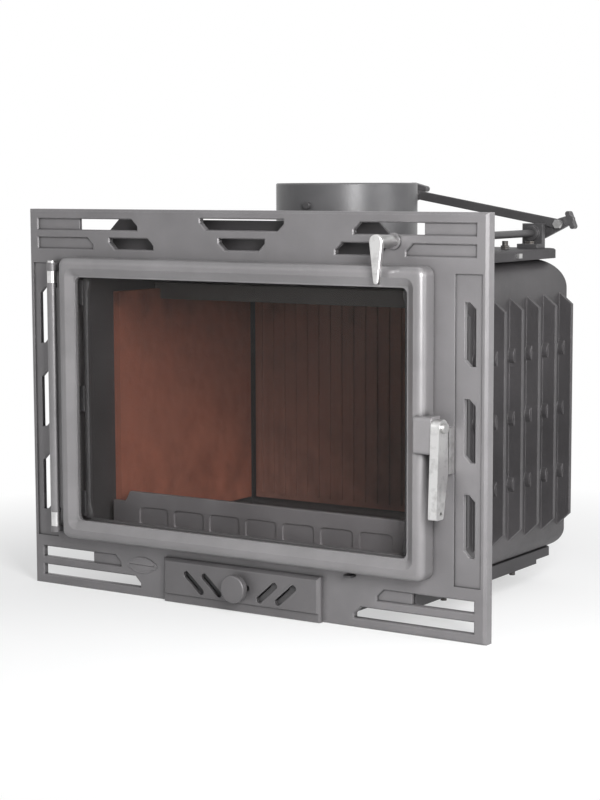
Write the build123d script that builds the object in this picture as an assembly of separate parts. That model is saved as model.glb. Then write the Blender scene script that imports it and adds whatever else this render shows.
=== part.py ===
from build123d import *
from math import cos, radians, sin
import os

os.makedirs("parts", exist_ok=True)

# Cast-iron fireplace insert, millimetres. X runs along the face plate, Y runs back from the
# plate's front face, Z runs up from the plate's bottom edge.

# General fits
running = 0.06
moving_gap = 0.3
seat_gap = 0.2

# Face plate
plate_width = 700.0
plate_above_door = 63.0
plate_thickness = 8.0
plate_bevel = 3.0
rim_depth = 16.0
rim_wall = 6.0

# Ventilation slots in the face plate
slot_height = 14.0
slot_pitch = 25.0
slot_bevel = 1.5
slot_bevel_angle = 44.0
slot_corner = 9.0
slot_end_margin = 16.0
top_margin = 13.0
bottom_margin = 12.5
pocket_depth = 3.0
top_long_inner = 166.0
top_pocket_length = 70.0
top_blind_inner = 240.0
top_short_inner = 140.0
top_short_outer = 212.0
centre_long_half = 64.0
centre_short_half = 35.0
centre_rise = 2.0
bottom_upper_inner = 200.0
bottom_pocket_length = 48.0
bottom_lower_inner = 167.0
side_slot_width = 15.0
side_slot_length = 76.0
side_slot_pitch = 114.0
side_slot_corner = 8.0
side_slot_mid = 255.0
side_panel_door_gap = 27.0
side_panel_margin = 7.0
side_panel_bottom = 67.0
side_panel_top_drop = 9.0
side_panel_depth = 2.0

# Door
door_width = 560.0
door_height = 377.0
door_bottom = 72.0
door_front = 28.0
door_back = 3.0
door_rail = 26.0
door_corner = 12.0
door_round = 10.0
dish_edge = 14.0
dish_depth = 7.0
opening_corner = 8.0
aperture_margin = 1.0

# Glass and its fixing
glass_thickness = 4.0
glass_bearing = 4.5
glass_side_gap = 0.5
seal_thickness = 2.0
glass_lip = 5.0
clip_thickness = 2.5
clip_length = 34.0
clip_width = 15.0
clip_screw_radius = 2.0
clip_screw_head = 3.3
clip_screw_head_height = 1.8
clip_end_margin = 4.0
clip_screw_inset = 8.0
rope_inset = 11.5
rope_width = 7.5
rope_groove_depth = 5.0
rope_corner = 14.0

# Door hinge
hinge_side_gap = 19.5
hinge_y = -13.5
hinge_rod_radius = 7.0
hinge_pin_radius = 4.0
hinge_pin_grip = 19.0
hinge_top_lug_drop = 19.0
hinge_top_lug_height = 11.0
hinge_low_lug = 77.0
hinge_low_lug_height = 8.0
hinge_top_bush = 16.0
hinge_low_bush = 19.0
hinge_web = 5.0

# Door handle and its keeper
handle_y = -25.0
handle_z = 260.0
handle_thickness = 11.5
handle_side_gap = 14.5
handle_drop = 108.0
handle_head = 10.5
handle_bottom_front = 16.0
handle_bottom_back = 1.0
handle_belly = 12.0
handle_belly_drop = 55.0
handle_hole_radius = 2.2
pivot_radius = 4.0
boss_bottom = 228.0
boss_top = 273.0
boss_front = 34.0
boss_back = 12.0
boss_overlap = 10.0
keeper_height = 55.0
keeper_top = 259.0
keeper_width = 7.0
keeper_depth = 12.0
keeper_lip_drop = 12.0
keeper_lip_radius = 22.0
keeper_screw_radius = 1.75
keeper_screw_depth = 9.0
keeper_screw_inset = 9.0
tooth_gap = 0.4
tooth_thickness = 4.6
tooth_tip_angle = -30.0
tooth_root_angle = -52.0
neck_angle = -76.0
neck_thickness = 4.8

# Firebox shell
body_half_width = 262.0
body_back = 393.0
wall = 6.0
shell_bottom = 50.0
shell_below_door = 5.0
shoulder_radius = 41.0
foot_radius = 24.0
top_seat = 21.0
bottom_seat = 23.0
mitre_reach = 60.0

# Fins on the shell
fin_height = 18.0
fin_thickness = 6.0
fin_first = 82.0
fin_last_inset = 23.0
fin_count = 7
fin_root_below_top = 46.0
fin_end_slope = 15.0
fin_root_above_bottom = 32.0
fin_foot_slope = 17.0
boss_drops = (287.0, 201.0, 120.0)
fin_boss_length = 20.0
fin_boss_reach = 4.0
fin_boss_width = 8.0
back_fin_height = 14.0
back_fin_pitch = 48.0
back_fin_count = 9

# Top plate, base plate and their bolts
top_plate_inset = 7.0
top_plate_thickness = 13.0
top_plate_corner = 14.0
top_plate_bevel = 2.0
base_side_inset = 12.0
base_back_inset = 7.0
base_thickness = 12.0
rail_back_inset = 52.0
rail_depth = 5.5
rail_width = 35.0
stud_radius = 4.0
stud_reach = 11.0
nut_radius = 6.5
nut_height = 5.0
top_stud_side_inset = 51.0
top_stud_first = 70.0
top_stud_back_inset = 76.0
base_stud_side_inset = 30.0
base_stud_first = 110.0
base_stud_back_inset = 88.0
edge_screw_back_inset = 124.0
edge_screw_size = 9.0
edge_screw_head = 4.0
edge_screw_reach = 11.0

# Flue collar
collar_back_inset = 135.0
collar_outer = 96.0
collar_height = 88.0
socket_radius = 91.0
socket_depth = 20.0
lip_radius = 86.0
lip_height = 4.0
collar_flange = 118.0
collar_flange_thickness = 8.0
collar_bolt_circle = 107.0
collar_bolt_count = 4

# Damper and its linkage
axle_drop = 29.0
axle_radius = 5.0
axle_end = 6.0
blade_radius = 84.0
blade_thickness = 4.0
blade_hub_radius = 8.0
blade_hub_half = 78.0
shaft_x = 223.0
shaft_height = 20.0
crank_x = 31.0
crank_z = 12.5
crank_thickness = 6.0
crank_stand_off = 12.0
crank_hub = 10.0
crank_eye = 7.5
crank_tab = 4.0
crank_reach_ratio = 1.45
tab_neck_radius = 6.0
tab_neck_step = 2.0
tab_end_radius = 4.0
tab_inner = 7.0
tab_outer = 12.0
tab_rise = 12.5
tab_slope = 5.0
paddle_radius = 3.5
paddle_lean = 3.0
paddle_up = 8.0
paddle_down = 9.0
bar_width = 12.0
bar_thickness = 4.0
link_pin_radius = 4.0
open_pivot_clearance = 0.4
bracket_half = 15.0
bracket_back_inset = 20.0
bracket_thickness = 8.0
bracket_foot = 24.0
bracket_above_shaft = 13.0
bracket_flange = 6.0
bracket_boss = 5.0
bracket_boss_radius = 10.0
bracket_bolt_step = 8.0
bracket_bolt_head = 3.5
lever_reach = 43.0
lever_thickness = 6.0
lever_drop = 50.0
lever_head = 9.0
lever_tip = 3.5
hub_front_radius = 8.5
hub_back_radius = 7.0

# Firebox furniture
lining_thickness = 10.0
lining_front = 62.0
lining_lift = 26.0
lining_drop = 44.0
rib_pitch = 20.0
rib_height = 4.0
rib_width = 8.0
rib_margin = 8.0
back_lining_side_gap = 16.0
baffle_front = 150.0
baffle_thickness = 8.0
baffle_lip = 14.0
baffle_side_gap = 3.0
guard_front = 40.0
guard_thickness = 6.0
guard_side_gap = 13.0
guard_height = 82.0
guard_end_drop = 14.0
guard_end_width = 29.0
guard_slope = 8.0
guard_foot = 18.0
guard_panel_corner = 6.0
guard_panel_pitch = 58.0
guard_panel_count = 7
guard_panel_width = 48.0
guard_panel_height = 25.0
guard_panel_lift = 37.0
guard_panel_depth = 2.0
grate_half = 110.0
grate_front = 120.0
grate_back_inset = 86.0
grate_thickness = 12.0
grate_ledge = 6.0
grate_slot_count = 9
grate_slot_width = 10.0
grate_margin = 14.0
grate_spine = 10.0

# Ash compartment, drawer and air slide
ash_half = 124.0
ash_wall = 4.0
ash_floor = 5.0
ash_back_inset = 64.0
pan_side_gap = 1.5
pan_wall = 2.0
pan_front = 2.0
pan_back_gap = 18.0
pan_height = 28.0
pan_window_half = 90.0
front_half = 122.0
front_bottom = 1.0
front_top = 59.0
front_proud = 10.0
front_web = 5.0
front_bevel = 4.0
front_ledge = 12.5
front_ledge_step = 2.0
front_post_radius = 6.0
front_post_inset = 10.0
front_post_z = 20.0
front_bolt_radius = 2.5
front_bolt_head = 4.5
front_bolt_head_height = 3.0
air_slot_centres = (-71.5, -43.0, 43.0, 71.5)
air_slot_lean = 11.5
air_slot_low = 16.0
air_slot_high = 45.0
air_slot_width = 9.0
slide_half = 90.0
slide_low = 12.0
slide_high = 49.0
slide_thickness = 3.0
slide_travel = 12.0
knob_radius = 18.0
knob_thickness = 10.0
knob_proud = 26.0
knob_z = 33.0
shank_radius = 4.0

# Secondary air pull tab
tab_x = 163.0
tab_z = 65.0
tab_width = 12.0
tab_thickness = 3.0
tab_proud = 12.0
tab_length = 48.0
guide_width = 26.0
guide_height = 14.0
guide_depth = 14.0

# Worked out from the sizes above
half = plate_width / 2
door_half = door_width / 2
door_top = door_bottom + door_height
plate_height = door_top + plate_above_door
side_panel_top = door_top - side_panel_top_drop
hinge_top_lug = door_top - hinge_top_lug_drop
shell_top = door_top - shell_below_door
open_half = door_half - door_rail
open_low = door_bottom + door_rail
open_high = door_top - door_rail
glass_front = -(door_front - dish_depth - glass_lip - seal_thickness)
glass_back = glass_front + glass_thickness
top_of_top = shell_top + top_plate_thickness
hinge_x = -(door_half + hinge_side_gap)
side_panel_inner = door_half + side_panel_door_gap
side_panel_outer = half - side_panel_margin
top_plate_half = body_half_width - top_plate_inset
top_plate_back = body_back - top_plate_inset
base_half = body_half_width - base_side_inset
base_back = body_back - base_back_inset
rail_back = base_back - rail_back_inset
top_stud_x = body_half_width - top_stud_side_inset
top_stud_last = top_plate_back - top_stud_back_inset
top_stud_rows = (top_stud_first, (top_stud_first + top_stud_last) / 2, top_stud_last)
base_stud_x = body_half_width - base_stud_side_inset
base_stud_rows = (base_stud_first, base_back - base_stud_back_inset)
edge_screw_y = top_plate_back - edge_screw_back_inset
fin_pitch = (body_back - fin_last_inset - fin_first) / (fin_count - 1)
fin_root_top = shell_top - fin_root_below_top
fin_top = fin_root_top - fin_end_slope
fin_root_bottom = shell_bottom + fin_root_above_bottom
fin_bottom = fin_root_bottom + fin_foot_slope
collar_y = top_plate_back - collar_back_inset
collar_top = top_of_top + collar_height
axle_z = collar_top - axle_drop
shaft_z = top_of_top + shaft_height
bracket_front = top_plate_back - bracket_back_inset
bracket_bolt_y = bracket_front - bracket_bolt_step
bracket_top = shaft_z + bracket_above_shaft
crank_front = bracket_front + bracket_thickness + crank_stand_off
lining_bottom = shell_bottom + lining_lift
lining_top = shell_top - lining_drop
guard_top = shell_bottom + guard_height
guard_panel_bottom = shell_bottom + guard_panel_lift
grate_back = base_back - grate_back_inset
ash_back = base_back - ash_back_inset
pan_back = ash_back - ash_wall - pan_back_gap
base_low = shell_bottom - base_thickness
inner_half = body_half_width - wall
inner_back = body_back - wall
back_lining_half = inner_half - back_lining_side_gap
guard_half = inner_half - guard_side_gap
guard_step = guard_half - guard_end_width
slot_outer = half - slot_end_margin
handle_left = door_half + handle_side_gap
handle_right = handle_left + handle_thickness
keeper_left = handle_left + neck_thickness + 2 * moving_gap
bar_front = crank_front - bar_thickness - moving_gap
linkage_back = crank_front + crank_thickness


def block(x0, x1, y0, y1, z0, z1):
    """A box between two corners."""
    size = Box(x1 - x0, y1 - y0, z1 - z0)
    return Pos((x0 + x1) / 2, (y0 + y1) / 2, (z0 + z1) / 2) * size


def rod_x(radius, x0, x1, y, z):
    return Pos((x0 + x1) / 2, y, z) * Rot(0, 90, 0) * Cylinder(radius, abs(x1 - x0))


def rod_y(radius, x, y0, y1, z):
    return Pos(x, (y0 + y1) / 2, z) * Rot(90, 0, 0) * Cylinder(radius, abs(y1 - y0))


def rod_z(radius, x, y, z0, z1):
    return Pos(x, y, (z0 + z1) / 2) * Cylinder(radius, abs(z1 - z0))


def polygon(points):
    return Face(Wire.make_polygon([Vector(*p) for p in points], close=True))


def plate_xz(points, y0, y1):
    """An outline in X and Z, made solid from y0 back to y1."""
    face = polygon([(x, y0, z) for x, z in points])
    return Solid.extrude(face, Vector(0, y1 - y0, 0))


def plate_yz(points, x0, x1):
    face = polygon([(x0, y, z) for y, z in points])
    return Solid.extrude(face, Vector(x1 - x0, 0, 0))


def plate_xy(points, z0, z1):
    face = polygon([(x, y, z0) for x, y in points])
    return Solid.extrude(face, Vector(0, 0, z1 - z0))


def front_plane(y):
    """Sketch plane facing forward: its own x is +X and its own y is +Z."""
    return Plane(origin=(0, y, 0), x_dir=(1, 0, 0), z_dir=(0, -1, 0))


def side_plane(x):
    """Sketch plane facing +X: its own x is +Y and its own y is +Z."""
    return Plane(origin=(x, 0, 0), x_dir=(0, 1, 0), z_dir=(1, 0, 0))


def rounded(x0, x1, z0, z1, radius, y0, y1):
    """A plate with rounded corners, seen from the front, between two depths."""
    outline = Pos((x0 + x1) / 2, (z0 + z1) / 2) * RectangleRounded(x1 - x0, z1 - z0, radius)
    return extrude(front_plane(y1) * outline, amount=y1 - y0)


def mirrored(shape):
    return mirror(shape, about=Plane.YZ)


def together(pieces):
    """Several like pieces as one node."""
    whole = pieces[0]
    for piece in pieces[1:]:
        whole += piece
    return whole


def save(name, shape):
    nodes[name] = shape


def slot_points(x0, x1, z0, z1, cuts):
    """Corners of a slot; cuts holds the chamfer at low-left, low-right, high-right, high-left."""
    low_left, low_right, high_right, high_left = cuts
    points = []
    for x, z, cut, along, up in (
        (x0, z0, low_left, 1, 1),
        (x1, z0, low_right, -1, 1),
        (x1, z1, high_right, -1, -1),
        (x0, z1, high_left, 1, -1),
    ):
        if cut == 0:
            points.append((x, z))
            continue
        first = (x, z + up * cut)
        second = (x + along * cut, z)
        points += [first, second] if along == up else [second, first]
    return points


def slot_cut(points, depth):
    """A straight-sided slot with a bevelled mouth."""
    outline = front_plane(0) * make_face(Polyline(*points, close=True))
    straight = extrude(outline, amount=-depth)
    wider = offset(make_face(Polyline(*points, close=True)), slot_bevel, kind=Kind.INTERSECTION)
    mouth = extrude(front_plane(0) * wider, amount=-slot_bevel, taper=slot_bevel_angle)
    return straight + mouth


def make_face_plate():
    plate = block(-half, half, 0, plate_thickness, 0, plate_height)
    plate = chamfer(plate.faces().sort_by(Axis.Y)[0].edges(), plate_bevel)
    rim = block(-half, half, plate_thickness, rim_depth, 0, plate_height)
    rim -= block(-half + rim_wall, half - rim_wall, 0, rim_depth + 1, rim_wall, plate_height - rim_wall)
    plate += rim

    top = plate_height - top_margin
    upper = (top - slot_height, top)
    second = (upper[0] - slot_pitch, upper[1] - slot_pitch)
    lower = (bottom_margin, bottom_margin + slot_height)
    raised = (lower[0] + slot_pitch, lower[1] + slot_pitch)
    c = slot_corner
    right = [
        (top_long_inner, slot_outer - top_pocket_length, *upper, (0, 0, 0, c), plate_thickness),
        (top_long_inner, slot_outer, *upper, (0, 0, 0, c), pocket_depth),
        (top_blind_inner, slot_outer, *second, (0, 0, 0, c), pocket_depth),
        (top_short_inner, top_short_outer, *second, (0, c, 0, c), plate_thickness),
        (bottom_upper_inner + bottom_pocket_length, slot_outer, *raised, (0, 0, 0, 0), plate_thickness),
        (bottom_upper_inner, slot_outer, *raised, (0, 0, 0, c), pocket_depth),
        (bottom_lower_inner, slot_outer, *lower, (0, 0, 0, c), plate_thickness),
    ]
    for row in (-1, 0, 1):
        mid = side_slot_mid + row * side_slot_pitch
        ends = (mid - side_slot_length / 2, mid + side_slot_length / 2)
        cuts = (side_slot_corner, 0, side_slot_corner, 0)
        right.append((slot_outer - side_slot_width, slot_outer, *ends, cuts, plate_thickness))
    panel = block(side_panel_inner, side_panel_outer, 0, side_panel_depth, side_panel_bottom, side_panel_top)
    plate -= [panel, mirrored(panel)]
    for x0, x1, z0, z1, cuts, depth in right:
        cutter = slot_cut(slot_points(x0, x1, z0, z1, cuts), depth)
        plate -= [cutter, mirrored(cutter)]
    for reach, band in ((centre_long_half, upper), (centre_short_half, second)):
        ends = (band[0] + centre_rise, band[1] + centre_rise)
        plate -= slot_cut(slot_points(-reach, reach, *ends, (c, c, 0, 0)), plate_thickness)

    m = aperture_margin
    plate -= rounded(-open_half - m, open_half + m, open_low - m, open_high + m,
                     opening_corner, -1, plate_thickness + 1)
    ash_inner = ash_half - ash_wall
    plate -= block(-ash_inner, ash_inner, -1, rim_depth + 1, ash_floor, base_low)
    plate -= block(-ash_half, ash_half, plate_thickness, rim_depth + 1, -1, base_low)

    for low, height in ((hinge_top_lug, hinge_top_lug_height), (hinge_low_lug, hinge_low_lug_height)):
        lug = rod_z(hinge_rod_radius, hinge_x, hinge_y, low, low + height)
        lug += block(hinge_x - hinge_rod_radius, hinge_x + hinge_rod_radius, hinge_y, side_panel_depth,
                     low, low + height)
        plate += lug - rod_z(hinge_pin_radius, hinge_x, hinge_y, low - 1, low + height + 1)
    plate += rod_y(hub_back_radius + 3, shaft_x, -2, 1, shaft_z)
    plate -= rod_y(axle_radius + running, shaft_x, -3, plate_thickness + 1, shaft_z)
    plate -= tab_slot(-1, plate_thickness + 1)
    for x, z in keeper_screws():
        plate -= rod_y(keeper_screw_radius + seat_gap, x, -1, plate_thickness + 1, z)
    return plate


def tab_slot(y0, y1):
    width = tab_width / 2 + moving_gap
    height = tab_thickness / 2 + moving_gap
    return block(tab_x - width, tab_x + width, y0, y1, tab_z - height, tab_z + height)


def hull(inset):
    """The firebox as one rounded block, its faces moved in by inset."""
    reach = body_half_width - inset
    back = body_back - inset
    low, high = shell_bottom + inset, shell_top - inset
    upper, lower = shoulder_radius - inset, foot_radius - inset
    front = plate_thickness
    cross = Polyline((-reach, low), (reach, low), (reach, high), (-reach, high), close=True)
    cross = make_face(cross)
    corners = cross.vertices().sort_by(Axis.Y)
    cross = fillet(corners[:2], lower)
    cross = fillet(cross.vertices().sort_by(Axis.Y)[-2:], upper)
    along = extrude(front_plane(back) * cross, amount=back - front)
    side = make_face(Polyline((front, low), (back, low), (back, high), (front, high), close=True))
    rear = side.vertices().filter_by(lambda v: v.X > front + 1).sort_by(Axis.Y)
    side = fillet(rear[0], lower)
    rear = side.vertices().filter_by(lambda v: v.X > front + 1).sort_by(Axis.Y)
    side = fillet(rear[-1], upper)
    across = extrude(side_plane(-reach) * side, amount=2 * reach)
    return along & across


def make_shell():
    shell = hull(0) - hull(wall)
    roof = body_half_width - shoulder_radius - top_seat
    roof_back = body_back - shoulder_radius - top_seat
    shell -= block(-roof, roof, 0, roof_back, shell_top - 2 * wall, shell_top + 1)
    floor = body_half_width - foot_radius - bottom_seat
    floor_back = body_back - foot_radius - bottom_seat
    shell -= block(-floor, floor, 0, floor_back, shell_bottom - 1, shell_bottom + 2 * wall)
    return shell


def mitre(side):
    """Everything outside the upright 45 degree plane through one rear corner."""
    far = body_half_width + mitre_reach
    start = plate_thickness - mitre_reach
    line = body_half_width - body_back
    points = [(far, start), (far, far - line), (start + line, start)]
    wedge = plate_xy(points, 0, plate_height)
    return wedge if side > 0 else mirrored(wedge)


def fin(height):
    """One cooling fin standing on a wall that faces +X, at Y from 0 back, wall face at X 0."""
    points = [(-1, fin_root_top), (0, fin_root_top), (height, fin_top), (height, fin_bottom),
              (0, fin_root_bottom), (-1, fin_root_bottom)]
    shape = plate_xz(points, 0, fin_thickness)
    for drop in boss_drops:
        level = shell_top - drop
        reach = fin_boss_length / 2
        lens = ThreePointArc((0.5, level - reach), (-fin_boss_reach, level), (0.5, level + reach))
        lens += Line((0.5, level + reach), (0.5, level - reach))
        shape += extrude(side_plane(-1) * make_face(lens), amount=fin_boss_width + 1)
    return shape


def make_side_wall(shell, side):
    piece = shell & mitre(side)
    for x, y in stud_spots(top_stud_x, top_stud_rows):
        piece -= rod_z(stud_radius, x, y, shell_top - wall - 1, shell_top + 1)
    for x, y in stud_spots(base_stud_x, base_stud_rows):
        piece -= rod_z(stud_radius, x, y, shell_bottom - 1, shell_bottom + wall + 1)
    for i in range(fin_count):
        at = Pos(body_half_width, fin_first + i * fin_pitch, 0) * fin(fin_height)
        piece += at if side > 0 else mirrored(at)
    return piece


def make_back_wall(shell):
    piece = shell - mitre(1) - mitre(-1)
    for i in range(back_fin_count):
        x = (i - (back_fin_count - 1) / 2) * back_fin_pitch + fin_thickness / 2
        piece += Pos(x, body_back, 0) * Rot(0, 0, 90) * fin(back_fin_height)
    return piece


def make_top_plate():
    plate = block(-top_plate_half, top_plate_half, plate_thickness, top_plate_back, shell_top, top_of_top)
    rear = plate.edges().filter_by(Axis.Z).sort_by(Axis.Y)[-2:]
    plate = chamfer(rear, top_plate_corner)
    rim = plate.faces().sort_by(Axis.Z)[-1].edges()
    plate = chamfer(rim.filter_by(lambda edge: edge.center().Y > plate_thickness + 1), top_plate_bevel)
    plate -= rod_z(collar_outer - wall, 0, collar_y, shell_top - 1, top_of_top + 1)
    for x, y in stud_spots(top_stud_x, top_stud_rows):
        plate -= rod_z(stud_radius + seat_gap, x, y, shell_top - 1, top_of_top + 1)
    for x, y in collar_bolts():
        plate -= rod_z(stud_radius, x, y, shell_top, top_of_top + 1)
    plate -= rod_z(stud_radius, shaft_x, bracket_bolt_y, shell_top, top_of_top + 1)
    for side in (-1, 1):
        inner = side * (top_plate_half - edge_screw_reach - 1)
        outer = side * (top_plate_half + 1)
        plate -= rod_x(stud_radius - 1, inner, outer, edge_screw_y, shell_top + top_plate_thickness / 2)
    return plate


def stud_spots(x, rows):
    return [(side * x, y) for side in (-1, 1) for y in rows]


def collar_bolts():
    step = 360 / collar_bolt_count
    angles = [radians(step / 2 + step * i) for i in range(collar_bolt_count)]
    return [(collar_bolt_circle * cos(a), collar_y + collar_bolt_circle * sin(a)) for a in angles]


def make_base_plate():
    plate = block(-base_half, base_half, plate_thickness, base_back, base_low, shell_bottom)
    rear = plate.edges().filter_by(Axis.Z).sort_by(Axis.Y)[-2:]
    plate = chamfer(rear, top_plate_corner)
    rail = block(base_half - rail_width, base_half, plate_thickness, rail_back,
                 base_low - rail_depth, base_low)
    plate += rail + mirrored(rail)
    plate -= block(-grate_half, grate_half, grate_front, grate_back,
                   shell_bottom - grate_ledge, shell_bottom + 1)
    inner = grate_half - grate_ledge
    plate -= block(-inner, inner, grate_front + grate_ledge, grate_back - grate_ledge,
                   base_low - 1, shell_bottom)
    for x, y in stud_spots(base_stud_x, base_stud_rows):
        plate -= rod_z(stud_radius + seat_gap, x, y, base_low - rail_depth - 1, shell_bottom + 1)
    return plate


def make_top_studs():
    studs = []
    for x, y in stud_spots(top_stud_x, top_stud_rows):
        stud = rod_z(stud_radius, x, y, shell_top - wall, top_of_top + stud_reach)
        stud += hexagon(x, y, top_of_top, nut_height)
        studs.append(stud)
    return together(studs)


def hexagon(x, y, z, height):
    nut = extrude(Plane(origin=(x, y, z)) * RegularPolygon(nut_radius, 6), amount=height)
    return nut


def make_base_studs():
    studs = []
    for x, y in stud_spots(base_stud_x, base_stud_rows):
        low = base_low - rail_depth
        stud = rod_z(stud_radius, x, y, low - stud_reach, shell_bottom + wall)
        stud += hexagon(x, y, low - nut_height, nut_height)
        studs.append(stud)
    return together(studs)


def make_edge_screws():
    screws = []
    mid = shell_top + top_plate_thickness / 2
    size = edge_screw_size / 2
    for side in (-1, 1):
        near, far = side * top_plate_half, side * (top_plate_half + edge_screw_head)
        head = block(min(near, far), max(near, far), edge_screw_y - size, edge_screw_y + size,
                     mid - size / 1.5, mid + size / 1.5)
        head += rod_x(stud_radius - 1, side * (top_plate_half - edge_screw_reach), near, edge_screw_y, mid)
        screws.append(head)
    return together(screws)


def make_collar():
    inner = collar_outer - wall
    ledge = collar_top - socket_depth
    base = top_of_top
    profile = Polyline(
        (inner, base), (collar_flange, base), (collar_flange, base + collar_flange_thickness),
        (collar_outer, base + collar_flange_thickness), (collar_outer, collar_top - 1.5),
        (collar_outer - 1.5, collar_top), (socket_radius + 1, collar_top), (socket_radius, collar_top - 1),
        (socket_radius, ledge), (lip_radius, ledge), (lip_radius, ledge - lip_height),
        (inner, ledge - 2 * lip_height), close=True)
    ring = revolve(Plane.XZ * make_face(profile), axis=Axis.Z)
    ring = Pos(0, collar_y, 0) * ring
    ring -= rod_y(axle_radius + running, 0, collar_y - collar_outer - 1, collar_y + collar_outer + 1, axle_z)
    for x, y in collar_bolts():
        ring -= rod_z(stud_radius + seat_gap, x, y, base - 1, base + collar_flange_thickness + 1)
    return ring


def make_collar_bolts():
    bolts = []
    for x, y in collar_bolts():
        top = top_of_top + collar_flange_thickness
        bolts.append(rod_z(stud_radius, x, y, shell_top, top) + hexagon(x, y, top, nut_height))
    return together(bolts)


def make_damper_blade():
    blade = rod_z(blade_radius, 0, collar_y, axle_z - blade_thickness / 2, axle_z + blade_thickness / 2)
    blade += rod_y(blade_hub_radius, 0, collar_y - blade_hub_half, collar_y + blade_hub_half, axle_z)
    blade -= rod_y(axle_radius, 0, collar_y - blade_radius - 1, collar_y + blade_radius + 1, axle_z)
    return blade


def web(x0, z0, r0, x1, z1, r1, y0, y1):
    """A flat arm with round ends, from one centre to another."""
    outline = make_hull([Edge.make_circle(r0).moved(Location((x0, z0, 0))),
                         Edge.make_circle(r1).moved(Location((x1, z1, 0)))])
    return extrude(front_plane(y1) * outline, amount=y1 - y0)


def make_rear_crank():
    back = linkage_back
    arm = web(0, axle_z, crank_hub, crank_x, axle_z + crank_z, crank_eye, crank_front, back)
    eye_z = axle_z + crank_z
    neck = (crank_x - tab_neck_step, eye_z + tab_rise - tab_end_radius / 4)
    arm += web(crank_x, eye_z, tab_neck_radius, *neck, tab_end_radius, crank_front, back)
    arm += web(crank_x - tab_inner, eye_z + tab_rise, tab_end_radius, crank_x + tab_outer,
               eye_z + tab_rise - tab_slope, tab_end_radius, crank_front, back + crank_tab)
    arm -= rod_y(axle_radius, 0, crank_front - 1, back + 1, axle_z)
    arm -= rod_y(link_pin_radius, crank_x, crank_front - 1, back + 1, axle_z + crank_z)
    return arm


def make_lever_crank():
    back = linkage_back
    pin = (shaft_x + crank_x, shaft_z + crank_z)
    arm = web(shaft_x, shaft_z, crank_hub, *pin, crank_eye, crank_front, back)
    tip = (shaft_x + crank_reach_ratio * crank_x, shaft_z + crank_reach_ratio * crank_z)
    arm += web(*pin, crank_eye, *tip, tab_neck_radius, crank_front, back)
    arm += web(tip[0] - paddle_lean, tip[1] + paddle_up, paddle_radius, tip[0] + paddle_lean + 1,
               tip[1] - paddle_down, paddle_radius, crank_front, back + crank_tab)
    arm -= rod_y(axle_radius, shaft_x, crank_front - 1, back + 1, shaft_z)
    arm -= rod_y(link_pin_radius, pin[0], crank_front - 1, back + 1, pin[1])
    return arm


def make_link_bar():
    near = (shaft_x + crank_x, shaft_z + crank_z)
    far = (crank_x, axle_z + crank_z)
    bar = web(*near, bar_width / 2, *far, bar_width / 2, bar_front, bar_front + bar_thickness)
    bar -= rod_y(link_pin_radius + running, near[0], bar_front - 1, crank_front, near[1])
    bar -= rod_y(link_pin_radius + open_pivot_clearance, far[0], bar_front - 1, crank_front, far[1])
    return bar


def make_link_pin(x, z):
    head = bar_front - moving_gap
    pin = rod_y(link_pin_radius, x, head, linkage_back, z)
    pin += extrude(front_plane(head) * (Pos(x, z) * RegularPolygon(nut_radius, 6)), amount=nut_height)
    return pin


def make_shaft_bracket():
    back = bracket_front + bracket_thickness
    front = back - bracket_foot
    outline = [(shaft_x - bracket_half, top_of_top), (shaft_x + bracket_half, top_of_top),
               (shaft_x + bracket_half, bracket_top), (shaft_x - bracket_half, bracket_top)]
    ear = plate_xz(outline, bracket_front, back)
    flange = top_of_top + bracket_flange
    ear += block(shaft_x - bracket_half, shaft_x + bracket_half, front, back, top_of_top, flange)
    ear += rod_y(bracket_boss_radius, shaft_x, bracket_front - bracket_boss, bracket_front, shaft_z)
    ear -= rod_y(axle_radius + running, shaft_x, front - 1, back + 1, shaft_z)
    ear -= rod_z(stud_radius + seat_gap, shaft_x, bracket_bolt_y, top_of_top - 1, flange + 1)
    return ear


def make_bracket_bolt():
    seat = top_of_top + bracket_flange
    bolt = rod_z(stud_radius, shaft_x, bracket_bolt_y, shell_top, seat)
    return bolt + hexagon(shaft_x, bracket_bolt_y, seat, bracket_bolt_head)


def make_damper_handle():
    front = -lever_reach
    drop = web(shaft_x, shaft_z, lever_head, shaft_x, shaft_z - lever_drop + lever_tip, lever_tip,
               front, front + lever_thickness)
    edges = drop.faces().sort_by(Axis.Y)[0].edges()
    return chamfer(edges, 1.2)


def make_damper_hub():
    back, front = -2 - moving_gap, -lever_reach + lever_thickness
    cone = Cone(hub_back_radius, hub_front_radius, back - front)
    cone = Pos(shaft_x, (back + front) / 2, shaft_z) * Rot(90, 0, 0) * cone
    return cone - rod_y(axle_radius, shaft_x, front - 1, back + 1, shaft_z)


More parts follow.
